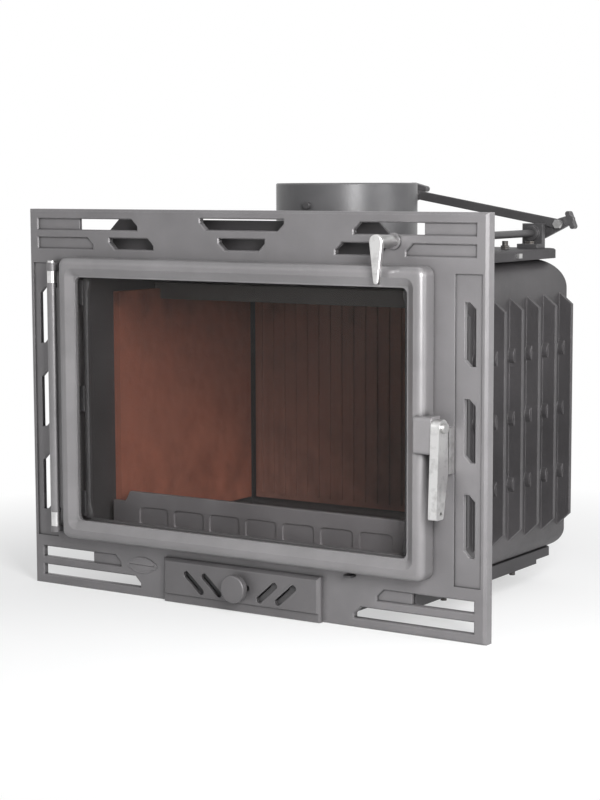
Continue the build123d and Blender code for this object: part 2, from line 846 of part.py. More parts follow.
def make_door_frame():
    frame = rounded(-door_half, door_half, door_bottom, door_top, door_corner, -door_front, -door_back)
    frame = fillet(frame.faces().sort_by(Axis.Y)[0].edges(), door_round)
    d = dish_edge
    dish_half = door_half - d
    dish = RectangleRounded(2 * dish_half, door_height - 2 * d, opening_corner + 4)
    dish = front_plane(-door_front) * (Pos(0, door_bottom + door_height / 2) * dish)
    frame -= extrude(dish, amount=-dish_depth, taper=56)
    frame -= rounded(-open_half, open_half, open_low, open_high, opening_corner, -door_front - 1, 0)
    g = glass_bearing + glass_side_gap
    rebate = -(door_front - dish_depth - glass_lip)
    frame -= rounded(-open_half - g, open_half + g, open_low - g, open_high + g, opening_corner, rebate, 0)
    r = rope_inset
    frame -= rounded(-open_half - r, open_half + r, open_low - r, open_high + r,
                     rope_corner, glass_back, 0)
    outer = r + rope_width
    groove = -door_back - rope_groove_depth
    frame -= rounded(-open_half - outer, open_half + outer, open_low - outer, open_high + outer,
                     rope_corner + rope_width, groove, 0)
    frame += make_hinge_rod()
    boss = block(door_half - boss_overlap, handle_left - moving_gap, -boss_front, -boss_back,
                 boss_bottom, boss_top)
    boss = fillet(boss.edges().filter_by(Axis.X).sort_by(Axis.Y)[:2], 5)
    frame += boss
    frame -= rod_x(pivot_radius, door_half - 2, handle_left + 1, handle_y, handle_z)
    for x, z in clip_screws():
        frame -= rod_y(clip_screw_radius, x, glass_back - 7, 0, z)
    return frame


def make_hinge_rod():
    low = hinge_low_lug + hinge_low_lug_height + hinge_low_bush + moving_gap
    high = hinge_top_lug - hinge_top_bush - moving_gap
    rod = rod_z(hinge_rod_radius, hinge_x, hinge_y, low, high)
    rod += block(hinge_x + 3, -door_half + 3, hinge_y, hinge_y + hinge_web, low + 6, high - 6)
    rod -= rod_z(hinge_pin_radius + running, hinge_x, hinge_y, low - 1, low + hinge_pin_grip)
    rod -= rod_z(hinge_pin_radius + running, hinge_x, hinge_y, high - hinge_pin_grip, high + 1)
    return rod


def make_hinge_pins():
    low = hinge_low_lug
    low_end = low + hinge_low_lug_height + hinge_low_bush + hinge_pin_grip - 1
    high = hinge_top_lug + hinge_top_lug_height
    high_end = hinge_top_lug - hinge_top_bush - hinge_pin_grip + 1
    lower = rod_z(hinge_pin_radius, hinge_x, hinge_y, low, low_end)
    upper = rod_z(hinge_pin_radius, hinge_x, hinge_y, high_end, high)
    upper += rod_z(hinge_pin_radius + 1.5, hinge_x, hinge_y, high, high + 2.5)
    return together([lower, upper])


def make_hinge_bushes():
    low = hinge_low_lug + hinge_low_lug_height
    bushes = []
    for base, height in ((low, hinge_low_bush), (hinge_top_lug - hinge_top_bush, hinge_top_bush)):
        bush = rod_z(hinge_rod_radius - 0.5, hinge_x, hinge_y, base, base + height)
        bush -= rod_z(hinge_pin_radius, hinge_x, hinge_y, base - 1, base + height + 1)
        bushes.append(bush)
    return together(bushes)


def clip_screws():
    x = open_half + clip_screw_inset
    mid = (open_low + open_high) / 2
    reach = clip_end_margin + clip_length / 2
    rows = (open_low + reach, mid, open_high - reach)
    return [(side * x, z) for side in (-1, 1) for z in rows]


def ring_band(inner, outer, corner, y0, y1):
    """A flat ring that follows the door opening, between two margins outside it."""
    ring = rounded(-open_half - outer, open_half + outer, open_low - outer, open_high + outer,
                   corner + outer - inner, y0, y1)
    return ring - rounded(-open_half - inner, open_half + inner, open_low - inner, open_high + inner,
                          corner, y0 - 1, y1 + 1)


def make_glass():
    g = glass_bearing
    return rounded(-open_half - g, open_half + g, open_low - g, open_high + g,
                   opening_corner, glass_front, glass_back)


def make_seal():
    return ring_band(glass_side_gap, glass_bearing, opening_corner, glass_front - seal_thickness, glass_front)


def make_clips():
    clips = []
    for x, z in clip_screws():
        side = 1 if x > 0 else -1
        outer = side * (open_half + rope_inset - seat_gap)
        inner = side * (open_half + rope_inset - seat_gap - clip_width)
        clip = block(min(inner, outer), max(inner, outer), glass_back, glass_back + clip_thickness,
                     z - clip_length / 2, z + clip_length / 2)
        clips.append(clip - rod_y(clip_screw_radius, x, glass_back - 1, 0, z))
    return together(clips)


def make_clip_screws():
    screws = []
    seat = glass_back + clip_thickness
    for x, z in clip_screws():
        screws.append(rod_y(clip_screw_radius, x, glass_back - 6, seat, z)
                      + rod_y(clip_screw_head, x, seat, seat + clip_screw_head_height, z))
    return together(screws)


def make_rope():
    return ring_band(rope_inset, rope_inset + rope_width, rope_corner,
                     -door_back - rope_groove_depth, -moving_gap)


def at_pivot(radius, angle):
    a = radians(angle)
    return (handle_y + radius * cos(a), handle_z + radius * sin(a))


def make_handle_lever():
    y, z = handle_y, handle_z
    head = rod_x(handle_head, handle_left, handle_right, y, z)
    outline = [(y - handle_head, z), (y - handle_bottom_front, z - handle_drop),
               (y + handle_bottom_back, z - handle_drop), (y + handle_belly, z - handle_belly_drop),
               (y + handle_head, z)]
    lever = plate_yz(outline, handle_left, handle_right)
    bottom = lever.edges().filter_by(Axis.X).sort_by(Axis.Z)[:2]
    lever = fillet(bottom, 2.5)
    lever += head
    inner = keeper_lip_radius + tooth_gap
    outer = inner + tooth_thickness
    hook = Line(at_pivot(6, tooth_root_angle), at_pivot(inner, tooth_root_angle))
    hook += RadiusArc(at_pivot(inner, tooth_root_angle), at_pivot(inner, tooth_tip_angle), -inner)
    hook += Line(at_pivot(inner, tooth_tip_angle), at_pivot(outer, tooth_tip_angle))
    hook += RadiusArc(at_pivot(outer, tooth_tip_angle), at_pivot(outer, neck_angle), outer)
    hook += Line(at_pivot(outer, neck_angle), at_pivot(6, neck_angle))
    hook += Line(at_pivot(6, neck_angle), at_pivot(6, tooth_root_angle))
    lever += extrude(side_plane(handle_left) * make_face(hook), amount=neck_thickness)
    lever -= rod_x(pivot_radius + running, handle_left - 1, handle_right + 1, y, z)
    lever -= rod_x(handle_hole_radius, handle_left - 1, handle_right + 1, y - 5, z - handle_drop + 7)
    return lever


def make_handle_bolt():
    head = handle_right + moving_gap
    bolt = rod_x(pivot_radius, door_half - 1, head, handle_y, handle_z)
    return bolt + rod_x(pivot_radius * 1.5, head, head + 4, handle_y, handle_z)


def make_keeper():
    right = keeper_left + keeper_width
    low = keeper_top - keeper_height
    keeper = block(keeper_left, right, -keeper_depth, side_panel_depth, low, keeper_top)
    keeper -= block(keeper_left - 1, side_panel_inner, 0, side_panel_depth + 1, low - 1, keeper_top + 1)
    lip = block(handle_left, keeper_left, -keeper_depth, 0, keeper_top - keeper_lip_drop, keeper_top)
    keeper += lip & rod_x(keeper_lip_radius, handle_left, keeper_left, handle_y, handle_z)
    for x, z in keeper_screws():
        keeper -= rod_y(keeper_screw_radius, x, -keeper_screw_depth, 1, z)
    return keeper


def keeper_screws():
    x = keeper_left + keeper_width / 2
    low = keeper_top - keeper_height
    return [(x, low + keeper_screw_inset), (x, keeper_top - keeper_screw_inset)]


def make_keeper_screws():
    screws = []
    seat = plate_thickness
    for x, z in keeper_screws():
        shank = rod_y(keeper_screw_radius, x, -keeper_screw_depth, seat, z)
        screws.append(shank + rod_y(2 * keeper_screw_radius, x, seat, seat + keeper_screw_radius, z))
    return together(screws)


def make_side_lining(side):
    inner = inner_half - lining_thickness
    back = inner_back - lining_thickness - rib_height
    panel = block(inner, inner_half, lining_front, back, lining_bottom, lining_top)
    return panel if side > 0 else mirrored(panel)


def make_back_lining():
    back = inner_back
    face = back - lining_thickness
    panel = block(-back_lining_half, back_lining_half, face, back, lining_bottom, lining_top)
    count = int((2 * back_lining_half - rib_width) / rib_pitch)
    for i in range(count + 1):
        x = (i - count / 2) * rib_pitch
        panel += block(x - rib_width / 2, x + rib_width / 2, face - rib_height, face,
                       lining_bottom + rib_margin, lining_top - rib_margin)
    return panel


def make_baffle():
    reach = inner_half - baffle_side_gap
    plate = block(-reach, reach, baffle_front, inner_back - 4, lining_top, lining_top + baffle_thickness)
    lip_half = reach - lining_thickness
    plate += block(-lip_half, lip_half, baffle_front, baffle_front + baffle_thickness,
                   lining_top - baffle_lip, lining_top)
    return plate


def make_log_guard():
    floor = shell_bottom + wall
    foot = body_half_width - foot_radius - 2
    shoulder = guard_top - guard_end_drop
    right = [(foot, floor), (guard_half, floor + foot_radius), (guard_half, shoulder),
             (guard_step + guard_slope, shoulder), (guard_step, guard_top)]
    points = right + [(-x, z) for x, z in reversed(right)]
    guard = plate_xz(points, guard_front, guard_front + guard_thickness)
    guard += block(-foot, foot, guard_front, guard_front + guard_foot, floor, floor + guard_thickness)
    for i in range(guard_panel_count):
        x = (i - (guard_panel_count - 1) / 2) * guard_panel_pitch
        guard -= rounded(x - guard_panel_width / 2, x + guard_panel_width / 2,
                         guard_panel_bottom, guard_panel_bottom + guard_panel_height, guard_panel_corner,
                         guard_front - 1, guard_front + guard_panel_depth)
    return guard


def make_grate():
    g = seat_gap
    low = shell_bottom - grate_ledge
    high = low + grate_thickness
    grate = block(-grate_half + g, grate_half - g, grate_front + g, grate_back - g, low, high)
    pitch = 2 * (grate_half - grate_margin) / grate_slot_count
    mid = (grate_front + grate_back) / 2
    halves = ((grate_front + grate_margin, mid - grate_spine / 2),
              (mid + grate_spine / 2, grate_back - grate_margin))
    for i in range(grate_slot_count):
        x = (i - (grate_slot_count - 1) / 2) * pitch
        w = grate_slot_width / 2
        for near, far in halves:
            grate -= block(x - w, x + w, near, far, low - 1, high + 1)
    return grate


def make_ash_box():
    inner = ash_half - ash_wall
    box = block(-ash_half, ash_half, plate_thickness, ash_back, 0, base_low)
    return box - block(-inner, inner, plate_thickness - 1, ash_back - ash_wall, ash_floor, base_low + 1)


def front_posts():
    x = ash_half - ash_wall - front_post_inset + pan_side_gap
    return [(-x, front_post_z), (x, front_post_z)]


def make_ash_pan():
    reach = ash_half - ash_wall - pan_side_gap
    low = ash_floor + moving_gap
    pan = block(-reach, reach, pan_front, pan_back, low, low + pan_height)
    pan -= block(-reach + pan_wall, reach - pan_wall, pan_front + pan_wall, pan_back - pan_wall,
                 low + pan_wall, low + pan_height + 1)
    window = pan_window_half
    pan -= block(-window, window, pan_front - 1, pan_front + pan_wall + 1,
                 low + pan_height / 2, low + pan_height + 1)
    for x, z in front_posts():
        pan -= rod_y(front_bolt_radius, x, pan_front - 1, pan_front + pan_wall + 1, z)
    return pan


def leaning_slot(x, y0, y1):
    """One slanted air slot; the slots lean towards the knob at their lower ends."""
    lean = air_slot_lean if x < 0 else -air_slot_lean
    r = air_slot_width / 2
    return web(x - lean, air_slot_high - r, r, x + lean, air_slot_low + r, r, y0, y1)


def make_ash_front():
    back = -moving_gap
    web_back = -front_proud + front_web
    front = block(-front_half, front_half, -front_proud, back, front_bottom, front_top)
    face = front.faces().sort_by(Axis.Y)[0]
    front = chamfer(face.edges().sort_by(Axis.Z)[1:], front_bevel)
    front -= block(-front_half - 1, front_half + 1, -front_proud - 1, -front_proud + front_ledge_step,
                   front_bottom - 1, front_ledge)
    reach = slide_half + slide_travel + moving_gap
    front -= block(-reach, reach, web_back, back + 1, slide_low - moving_gap, slide_high + moving_gap)
    for x in air_slot_centres:
        front -= leaning_slot(x, -front_proud - 1, web_back + 1)
    run = shank_radius + moving_gap
    front -= web(0, knob_z, run, slide_travel, knob_z, run, -front_proud - 1, web_back + 1)
    for x, z in front_posts():
        front += rod_y(front_post_radius, x, back - 1, pan_front, z)
        front -= rod_y(front_bolt_radius, x, web_back, pan_front + 1, z)
    return front


def make_front_bolts():
    bolts = []
    inside = pan_front + pan_wall
    for x, z in front_posts():
        shank = rod_y(front_bolt_radius, x, -front_proud + front_web + 1, inside, z)
        bolts.append(shank + rod_y(front_bolt_head, x, inside, inside + front_bolt_head_height, z))
    return together(bolts)


def make_air_slide():
    front = -front_proud + front_web + moving_gap
    plate = block(-slide_half, slide_half, front, front + slide_thickness, slide_low, slide_high)
    for x in air_slot_centres:
        plate -= leaning_slot(x - slide_travel, front - 1, front + slide_thickness + 1)
    return plate


def make_air_knob():
    front = -front_proud + front_web + moving_gap
    knob = rod_y(knob_radius, 0, -knob_proud, -knob_proud + knob_thickness, knob_z)
    knob = fillet(knob.edges().filter_by(GeomType.CIRCLE), 2)
    return knob + rod_y(shank_radius, 0, -knob_proud + knob_thickness - 1, front, knob_z)


def make_air_tab():
    r = tab_width / 2
    t = tab_thickness / 2
    tab = block(tab_x - r, tab_x + r, -tab_proud, -tab_proud + tab_length, tab_z - t, tab_z + t)
    return fillet(tab.edges().filter_by(Axis.Z).sort_by(Axis.Y)[:2], 4)


def make_tab_guide():
    x, z = guide_width / 2, guide_height / 2
    guide = block(tab_x - x, tab_x + x, plate_thickness, plate_thickness + guide_depth, tab_z - z, tab_z + z)
    return guide - tab_slot(plate_thickness - 1, plate_thickness + guide_depth + 1)


nodes = {}
shell = make_shell()
save("face_plate", make_face_plate())
save("side_wall_left", make_side_wall(shell, -1))
save("side_wall_right", make_side_wall(shell, 1))
save("back_wall", make_back_wall(shell))
save("top_plate", make_top_plate())
save("base_plate", make_base_plate())
save("top_studs", make_top_studs())
save("base_studs", make_base_studs())
save("edge_screws", make_edge_screws())
save("flue_collar", make_collar())
save("collar_bolts", make_collar_bolts())
save("damper_blade", make_damper_blade())
save("damper_axle", rod_y(axle_radius, 0, collar_y - collar_outer - axle_end, linkage_back, axle_z))
save("rear_crank", make_rear_crank())
save("rear_crank_pin", make_link_pin(crank_x, axle_z + crank_z))
save("link_bar", make_link_bar())
save("lever_crank", make_lever_crank())
save("lever_crank_pin", make_link_pin(shaft_x + crank_x, shaft_z + crank_z))
save("lever_shaft", rod_y(axle_radius, shaft_x, -lever_reach + lever_thickness, linkage_back, shaft_z))
save("damper_hub", make_damper_hub())
save("damper_handle", make_damper_handle())
save("shaft_bracket", make_shaft_bracket())
save("bracket_bolt", make_bracket_bolt())
save("door_frame", make_door_frame())
save("door_glass", make_glass())
save("glass_seal", make_seal())
save("glass_clips", make_clips())
save("clip_screws", make_clip_screws())
save("door_rope", make_rope())
save("hinge_pins", make_hinge_pins())
save("hinge_bushes", make_hinge_bushes())
save("handle_lever", make_handle_lever())
save("handle_bolt", make_handle_bolt())
save("latch_keeper", make_keeper())
save("keeper_screws", make_keeper_screws())
save("lining_left", make_side_lining(-1))
save("lining_right", make_side_lining(1))
save("lining_back", make_back_lining())
save("baffle", make_baffle())
save("log_guard", make_log_guard())
save("grate", make_grate())
save("ash_box", make_ash_box())
save("ash_pan", make_ash_pan())
save("ash_front", make_ash_front())
save("front_bolts", make_front_bolts())
save("air_slide", make_air_slide())
save("air_knob", make_air_knob())
save("air_tab", make_air_tab())
save("tab_guide", make_tab_guide())

# The origin goes to the middle of the whole insert's box, on the surface it stands on.
front_y = min(shape.bounding_box().min.Y for shape in nodes.values())
back_y = max(shape.bounding_box().max.Y for shape in nodes.values())
middle = (front_y + back_y) / 2
print("front", round(front_y, 3), "back", round(back_y, 3), "middle", round(middle, 3))
for name, shape in nodes.items():
    export_step(Pos(0, -middle, 0) * shape, f"parts/{name}.step")
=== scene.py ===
# %% [markdown]
# A cast-iron fireplace insert, dressed around its fixed frame. The iron pieces, joints and bolts
# come packed and stay where they are. What is added here is the finish of every surface, the few
# small pieces that only a close look shows, the lamps, the floor and the camera.

# %% The frame
from math import cos, pi, radians

import bpy
from mathutils import Matrix, Vector


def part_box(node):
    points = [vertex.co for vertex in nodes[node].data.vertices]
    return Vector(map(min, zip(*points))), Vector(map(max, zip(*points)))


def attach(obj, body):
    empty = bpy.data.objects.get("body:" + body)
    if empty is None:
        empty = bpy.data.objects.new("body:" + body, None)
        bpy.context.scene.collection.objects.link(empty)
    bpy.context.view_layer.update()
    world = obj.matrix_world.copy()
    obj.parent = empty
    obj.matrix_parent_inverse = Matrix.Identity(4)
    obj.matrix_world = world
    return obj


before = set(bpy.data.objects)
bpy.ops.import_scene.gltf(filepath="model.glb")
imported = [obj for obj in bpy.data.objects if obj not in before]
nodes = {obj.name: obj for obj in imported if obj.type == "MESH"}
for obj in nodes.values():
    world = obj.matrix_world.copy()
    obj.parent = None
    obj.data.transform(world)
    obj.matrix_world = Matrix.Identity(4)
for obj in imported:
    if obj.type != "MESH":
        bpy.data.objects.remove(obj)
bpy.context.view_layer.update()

# %% [markdown]
# Shader maths reads best as plain arithmetic. A small class wraps a node's output, so that
# `1 - grain * 0.3` adds the Math nodes by itself. Any other node comes from `Finish.add`, which
# takes the node's type, its settings and what goes into its sockets.

# %% Signals and finishes
class Signal:
    """One output of a shader node, which takes part in sums."""

    def __init__(self, finish, socket):
        self.finish = finish
        self.socket = socket

    def maths(self, operation, first, second=0.0):
        return self.finish.add("ShaderNodeMath", {"operation": operation}, {0: first, 1: second})

    def __add__(self, other):
        return self.maths("ADD", self, other)

    __radd__ = __add__

    def __mul__(self, other):
        return self.maths("MULTIPLY", self, other)

    __rmul__ = __mul__

    def __sub__(self, other):
        return self.maths("SUBTRACT", self, other)

    def __rsub__(self, other):
        return self.maths("SUBTRACT", other, self)

    def most(self, other):
        return self.maths("MAXIMUM", self, other)


class Finish:
    """A material in the making, or the nodes of the owner that is given."""

    def __init__(self, name, owner=None):
        self.material = owner or bpy.data.materials.new(name)
        self.material.use_nodes = True
        self.tree = self.material.node_tree
        self.tree.nodes.clear()

    def add(self, kind, settings=None, sockets=None, output=0):
        """A socket and the output go by number, by name, or by identifier where names repeat."""
        node = self.tree.nodes.new(kind)
        for key, value in (settings or {}).items():
            setattr(node, key, value)
        for key, value in (sockets or {}).items():
            socket = self.find(node.inputs, key)
            if isinstance(value, Signal):
                self.tree.links.new(value.socket, socket)
            else:
                socket.default_value = value
        return Signal(self, self.find(node.outputs, output)) if len(node.outputs) else None

    def find(self, group, key):
        exact = [socket for socket in group if socket.identifier == key]
        return exact[0] if exact else group[key]

    def place(self):
        """Metres in the frame, because every piece sits at the origin."""
        return self.add("ShaderNodeTexCoord", output="Object")

    def stretched(self, factors):
        return self.add("ShaderNodeMapping", sockets={"Vector": self.place(), "Scale": factors})

    def axis(self, name):
        return self.add("ShaderNodeSeparateXYZ", sockets={0: self.place()}, output=name)

    def noise(self, size, detail=3.0, rough=0.55, vector=None, warp=0.0):
        """Noise whose lumps are about `size` metres."""
        return self.add("ShaderNodeTexNoise", sockets={
            "Vector": vector or self.place(), "Scale": 1 / size, "Detail": detail,
            "Roughness": rough, "Distortion": warp})

    def cells(self, size):
        """Rounded cells about `size` metres across."""
        return self.add("ShaderNodeTexVoronoi", {"feature": "SMOOTH_F1"},
                        {"Vector": self.place(), "Scale": 1 / size}, output="Distance")

    def span(self, signal, low, high):
        """0 where the signal is at low, 1 where it is at high."""
        return self.add("ShaderNodeMapRange", {"clamp": True},
                        {"Value": signal, "From Min": low, "From Max": high})

    def blend(self, first, second, factor):
        tints = [shade if isinstance(shade, Signal) else (*shade, 1) for shade in (first, second)]
        return self.add("ShaderNodeMix", {"data_type": "RGBA"},
                        {"Factor_Float": factor, "A_Color": tints[0], "B_Color": tints[1]},
                        output="Result_Color")

    def relief(self, height, depth, strength=1.0, under=None):
        sockets = {"Height": height, "Distance": depth, "Strength": strength}
        if under:
            sockets["Normal"] = under
        return self.add("ShaderNodeBump", sockets=sockets)

    def rounded(self, radius):
        """A normal that turns softly over the edges, as on a casting."""
        return self.add("ShaderNodeBevel", {"samples": 4}, {"Radius": radius})

    def edges(self, rounded):
        """1 on an edge, 0 on a flat face: how far the rounded normal leaves the true one."""
        true = self.add("ShaderNodeNewGeometry", output="True Normal")
        alike = self.add("ShaderNodeVectorMath", {"operation": "DOT_PRODUCT"}, {0: rounded, 1: true},
                         output="Value")
        return self.span(1 - alike, 0.02, 0.22)

    def openness(self, reach):
        """1 in the open, less where the same piece closes in round a point within reach."""
        return self.add("ShaderNodeAmbientOcclusion", {"samples": 8, "only_local": True},
                        {"Distance": reach}, output="AO")

    def surface(self, colour, rough, metal, normal=None, **others):
        sockets = {"Base Color": colour if isinstance(colour, Signal) else (*colour, 1),
                   "Roughness": rough, "Metallic": metal}
        if normal:
            sockets["Normal"] = normal
        for key, value in others.items():
            sockets[key.replace("_", " ").title()] = value
        shader = self.add("ShaderNodeBsdfPrincipled", sockets=sockets)
        self.finished(shader)
        return self.material

    def finished(self, shader, output="ShaderNodeOutputMaterial"):
        self.add(output, sockets={"Surface": shader})

    def background_rays(self):
        """1 for the rays that show a background, 0 for those that carry its light to the iron."""
        camera_ray, glossy_ray, transmission_ray = (
            self.add("ShaderNodeLightPath", output=f"Is {kind} Ray")
            for kind in ("Camera", "Glossy", "Transmission"))
        return camera_ray.most(glossy_ray).most(transmission_ray)


def wear(names, material):
    """Gives the named frame pieces one finish."""
    for name in names:
        piece = nodes[name]
        piece.data.materials.clear()
        piece.data.materials.append(material)
    print(material.name, "on", len(names))


# %% [markdown]
# The face plate, the door and the ash front are painted with a satin stove paint that carries a
# fine metal fleck. It is a middling grey, a little mottled, over the soft orange-peel of a cast
# and shot-blasted face. Noise at three sizes does this: the large one moves the tone, the small
# one is the fleck, and the middle one is the relief. A casting has no sharp edges, so a Bevel node
# turns the normal over them, and where it does, the paint is made brighter, partly as rubbed wear
# and partly as a painted highlight. The corners of the pockets are darkened as painted shade, which
# an Ambient Occlusion node finds on the piece itself.

# %% Satin stove paint
paint_edge_radius = 0.0016
shade_reach = 0.014


def toned(tone, share):
    """A tone made lighter or darker, and kept below white."""
    return tuple(min(1.0, channel * share) for channel in tone)


def stove_paint(name, tone, sheen_rough, metal):
    f = Finish(name)
    cloud = f.noise(0.09, 3.0)
    fleck = f.noise(0.0007, 2.0, 0.7)
    cast = f.noise(0.0032, 4.0, 0.6)
    mottled = f.blend(toned(tone, 0.90), toned(tone, 1.10), f.span(cloud, 0.35, 0.65))
    flecked = f.blend(mottled, toned(tone, 1.7), f.span(fleck, 0.56, 0.74) * 0.45)
    soft = f.rounded(paint_edge_radius)
    # Edges are made lighter: partly rubbed wear, partly a painted highlight.
    wear_and_highlight = f.edges(soft) * f.span(cast, 0.30, 0.60)
    rubbed_and_highlit = f.blend(flecked, toned(tone, 2.0), wear_and_highlight * 0.75)
    # Painted shade: the corners and hollows of each piece are darkened by its own Ambient Occlusion.
    colour = f.blend(rubbed_and_highlit, toned(tone, 0.22), f.span(f.openness(shade_reach), 0.92, 0.45))
    rough = sheen_rough + (cloud - 0.5) * 0.14 + (fleck - 0.5) * 0.10 - wear_and_highlight * 0.12
    return f.surface(colour, rough, metal, f.relief(cast, 0.0003, 0.35, soft))


plate_tone = (0.168, 0.162, 0.166)
door_tone = (0.215, 0.208, 0.212)
front_tone = (0.125, 0.120, 0.123)
plate_paint = stove_paint("plate_paint", plate_tone, 0.42, 0.35)
wear(["face_plate"], plate_paint)
wear(["door_frame"], stove_paint("door_paint", door_tone, 0.36, 0.45))
wear(["ash_front", "air_knob"], stove_paint("front_paint", front_tone, 0.42, 0.35))

# %% [markdown]
# The firebox behind the plate is painted a dull charcoal over a rougher casting: sand-cast iron
# has a grain about a millimetre across, and the paint pools in it. Two reliefs are laid over each
# other, a slow swell and the sand, and the edges of the fins are made brighter as the plate's are,
# partly as rubbed wear and partly as a painted highlight.

# %% Charcoal casting
cast_edge_radius = 0.0018


def charcoal(name, tone, rough, grain_depth):
    f = Finish(name)
    sand = f.noise(0.0016, 5.0, 0.65)
    swell = f.noise(0.022, 3.0)
    dust = f.noise(0.12, 4.0, 0.6)
    colour = f.blend(toned(tone, 0.75), toned(tone, 1.35), f.span(dust * 0.7 + sand * 0.3, 0.35, 0.68))
    shine = rough + (sand - 0.5) * 0.20
    soft = f.rounded(cast_edge_radius)
    # Edges are made lighter: partly rubbed wear, partly a painted highlight.
    wear_and_highlight = f.edges(soft) * f.span(swell, 0.35, 0.65)
    rubbed_and_highlit = f.blend(colour, toned(tone, 3.0), wear_and_highlight * 0.7)
    coarse = f.relief(swell, 0.0012, 0.35, soft)
    fine = f.relief(sand, grain_depth, 0.6, coarse)
    return f.surface(rubbed_and_highlit, shine, 0.25, fine)


shell_paint = charcoal("shell_paint", (0.052, 0.049, 0.051), 0.50, 0.0005)
plate_top_paint = charcoal("plate_top_paint", (0.030, 0.028, 0.030), 0.55, 0.0004)
wear(["side_wall_left", "side_wall_right", "back_wall"], shell_paint)
wear(["top_plate", "base_plate"], plate_top_paint)

# %% [markdown]
# The collar was turned in a lathe before it was painted, so it is smoother than the shell, and fine
# rings run round it. A wave texture in bands up the height gives the rings.

# %% Turned collar
def turned_iron():
    f = Finish("turned_iron")
    rings = f.add("ShaderNodeTexWave", {"bands_direction": "Z", "wave_profile": "SIN"},
                  {"Vector": f.place(), "Scale": 240.0, "Distortion": 0.6, "Detail": 1.0}, output="Fac")
    sand = f.noise(0.002, 4.0, 0.6)
    dust = f.noise(0.06, 3.0)
    colour = f.blend((0.075, 0.074, 0.077), (0.105, 0.103, 0.106), f.span(dust, 0.3, 0.7))
    lines = f.relief(rings, 0.00012, 0.35)
    return f.surface(colour, 0.38 + (sand - 0.5) * 0.2, 0.15, f.relief(sand, 0.0002, 0.4, lines))


wear(["flue_collar"], turned_iron())

# %% [markdown]
# Bright steel: the handles, the hinge pins and the screws were ground, not painted. Long thin
# noise along one direction gives the grinding marks, which change the roughness more than the
# colour, and a little tarnish gathers in broad patches.

# %% Bright steel
def ground_steel(name, stretch, tone):
    f = Finish(name)
    marks = f.noise(0.001, 3.0, 0.6, f.stretched(stretch))
    tarnish = f.noise(0.012, 4.0, 0.6)
    colour = f.blend(tone, toned(tone, 0.62), f.span(tarnish, 0.48, 0.80))
    rough = 0.24 + marks * 0.22 + f.span(tarnish, 0.5, 0.8) * 0.15
    return f.surface(colour, rough, 1.0, f.relief(marks, 0.0001, 0.5))


upright_steel = ground_steel("upright_steel", (6.0, 6.0, 0.12), (0.66, 0.655, 0.65))
turned_steel = ground_steel("turned_steel", (0.12, 6.0, 6.0), (0.55, 0.545, 0.54))
wear(["handle_lever", "damper_handle", "latch_keeper", "hinge_bushes", "hinge_pins"], upright_steel)
wear(["handle_bolt", "edge_screws", "damper_hub", "lever_crank_pin", "rear_crank_pin"], turned_steel)

# %% [markdown]
# The linkage, the ash box and the clips are blackened steel, which is the shell's finish with a finer
# grain and more shine. The nuts and screws are black too, with a thread's fine bands and some rust.

# %% Dark steel and fixings
dark_linkage = charcoal("dark_linkage", (0.060, 0.058, 0.060), 0.42, 0.0002)
wear(["link_bar", "lever_crank", "rear_crank", "lever_shaft", "shaft_bracket", "damper_blade",
      "damper_axle", "glass_clips", "air_slide", "air_tab", "tab_guide", "ash_box", "ash_pan"],
     dark_linkage)


def black_fixings():
    f = Finish("black_fixings")
    thread = f.add("ShaderNodeTexWave", {"bands_direction": "Z"},
                   {"Vector": f.place(), "Scale": 130.0, "Distortion": 0.0}, output="Fac")
    rust = f.noise(0.006, 4.0, 0.6)
    colour = f.blend((0.075, 0.072, 0.070), (0.12, 0.10, 0.085), f.span(rust, 0.5, 0.75))
    return f.surface(colour, 0.45 + (rust - 0.5) * 0.3, 0.8, f.relief(thread, 0.0004, 0.4))


fixing_black = black_fixings()
wear(["top_studs", "base_studs", "collar_bolts", "bracket_bolt", "keeper_screws", "clip_screws",
      "front_bolts"], fixing_black)

# %% [markdown]
# Inside, the fire has worked on everything. The linings are rough red-brown iron, with a pitted,
# leaf-like crust, and the ribbed one at the back is a little duller. Soot darkens all of them towards
# the top. The baffle and the grate are dull and nearly black, and the log guard is a dark grey.

# %% Linings
soot_black = (0.012, 0.011, 0.010)


def fired_lining(name, cool, hot, crust_size):
    f = Finish(name)
    height = f.span(f.axis("Z"), 0.08, 0.40)
    crust = f.cells(crust_size)
    pits = f.noise(0.004, 6.0, 0.7, None, 1.2)
    patch = f.noise(0.05, 4.0, 0.6)
    colour = f.blend(cool, hot, f.span(patch * 0.6 + pits * 0.4, 0.38, 0.62))
    sooted = f.blend(colour, soot_black, height * f.span(patch, 0.25, 0.7) * 0.8)
    leaves = f.relief(crust, 0.004, 0.5)
    return f.surface(sooted, 0.82 + (pits - 0.5) * 0.2, 0.0, f.relief(pits, 0.0016, 0.7, leaves))


wear(["lining_left", "lining_right"],
     fired_lining("red_lining", (0.24, 0.075, 0.045), (0.42, 0.14, 0.085), 0.018))
wear(["lining_back"], fired_lining("rear_lining", (0.21, 0.095, 0.070), (0.36, 0.16, 0.115), 0.03))
wear(["baffle", "grate"], charcoal("fire_iron", (0.045, 0.042, 0.040), 0.62, 0.0003))
wear(["log_guard"], charcoal("guard_iron", (0.16, 0.15, 0.155), 0.45, 0.0002))

# %% [markdown]
# The pane is clear ceramic glass with a brown-grey veil of smoke. It is nearly see-through by its
# alpha, and the veil makes it a little less clear and a little less glossy in drifting patches.

# %% Door glass
def fire_glass():
    f = Finish("fire_glass")
    haze = f.noise(0.08, 4.0, 0.6)
    smear = f.noise(0.02, 3.0, 0.5, f.stretched((1.0, 1.0, 0.25)))
    veil = f.span(haze * 0.7 + smear * 0.3, 0.35, 0.75)
    return f.surface((0.030, 0.026, 0.024), 0.04 + veil * 0.10, 0.0, None,
                     alpha=0.10 + veil * 0.08)


wear(["door_glass"], fire_glass())

# %% [markdown]
# The rope that the door closes on and the tape that beds the pane are woven of glass fibre. Diagonal
# bands give the twist, and fine noise gives the fuzz.

